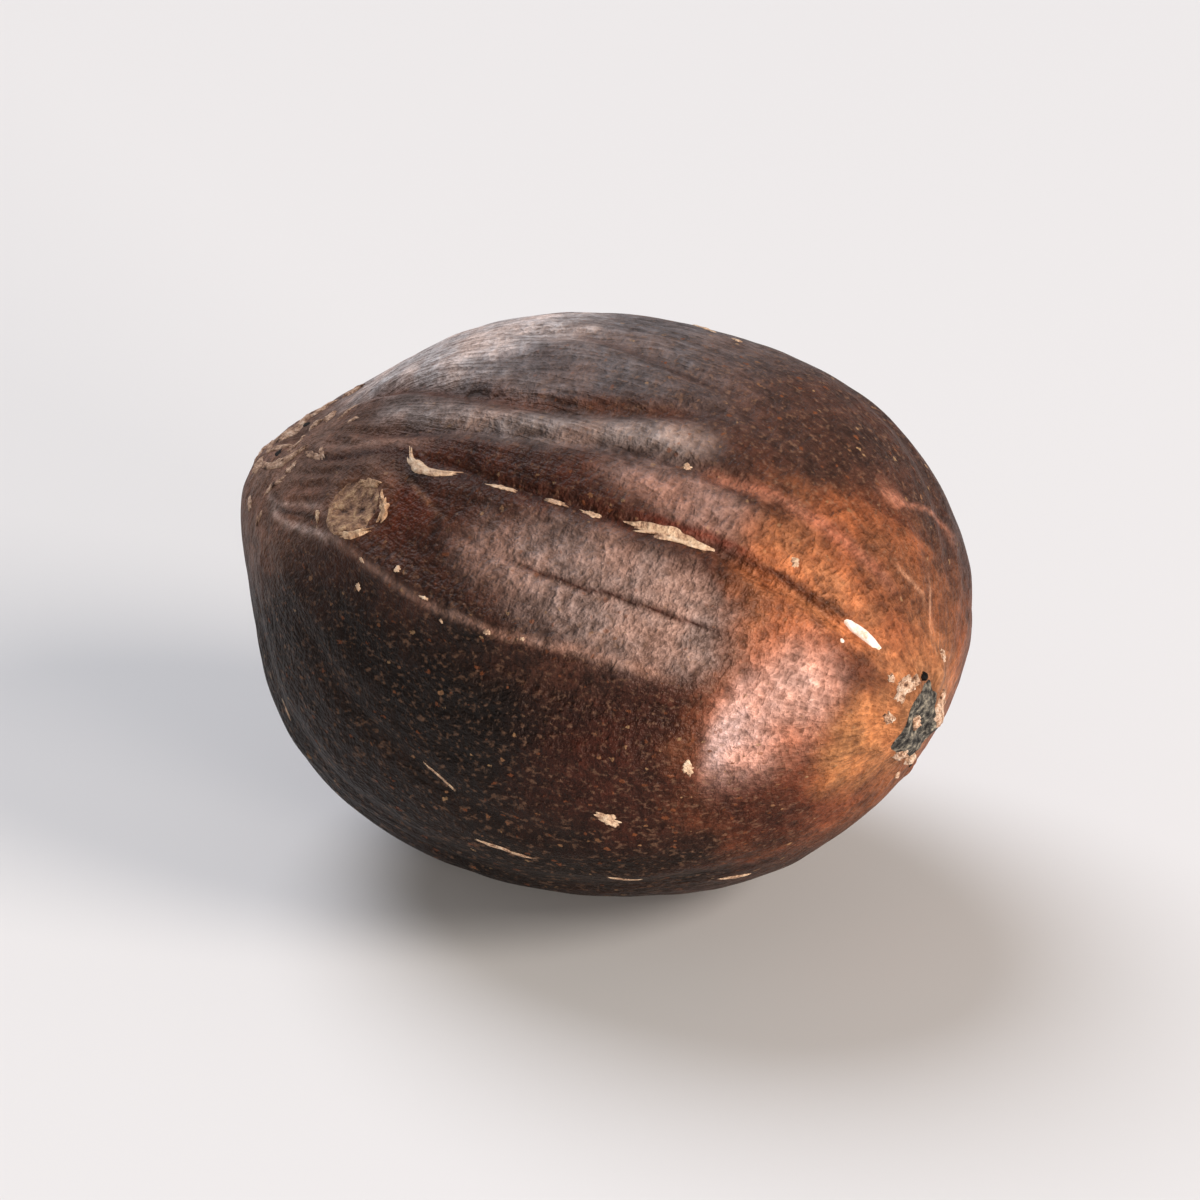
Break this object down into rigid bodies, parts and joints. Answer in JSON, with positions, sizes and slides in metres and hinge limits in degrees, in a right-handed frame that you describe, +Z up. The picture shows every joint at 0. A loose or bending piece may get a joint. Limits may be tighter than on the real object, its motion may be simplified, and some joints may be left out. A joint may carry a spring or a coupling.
{
  "type": "whole nutmeg",
  "caption": "Whole nutmeg in its brown seed coat, an egg-shaped seed lying on its side, with shallow furrows, a groove along the front and a round scar near its slimmer end.",
  "frame": {"origin": "bottom centre of the bounding box, in the plane that the nutmeg rests on", "axes": "+X along the seed towards its fuller end, where the stalk scar is; +Z up as it lies; +Y away from the side that shows the groove"},
  "size_m": [0.0256, 0.0204, 0.0197],
  "materials": {
    "seed_coat": "hard dry seed coat, dark brown to rust, waxy and half glossy"
  },
  "bodies": {
    "root": {"nutmeg": "seed_coat"}
  },
  "joints": []
}
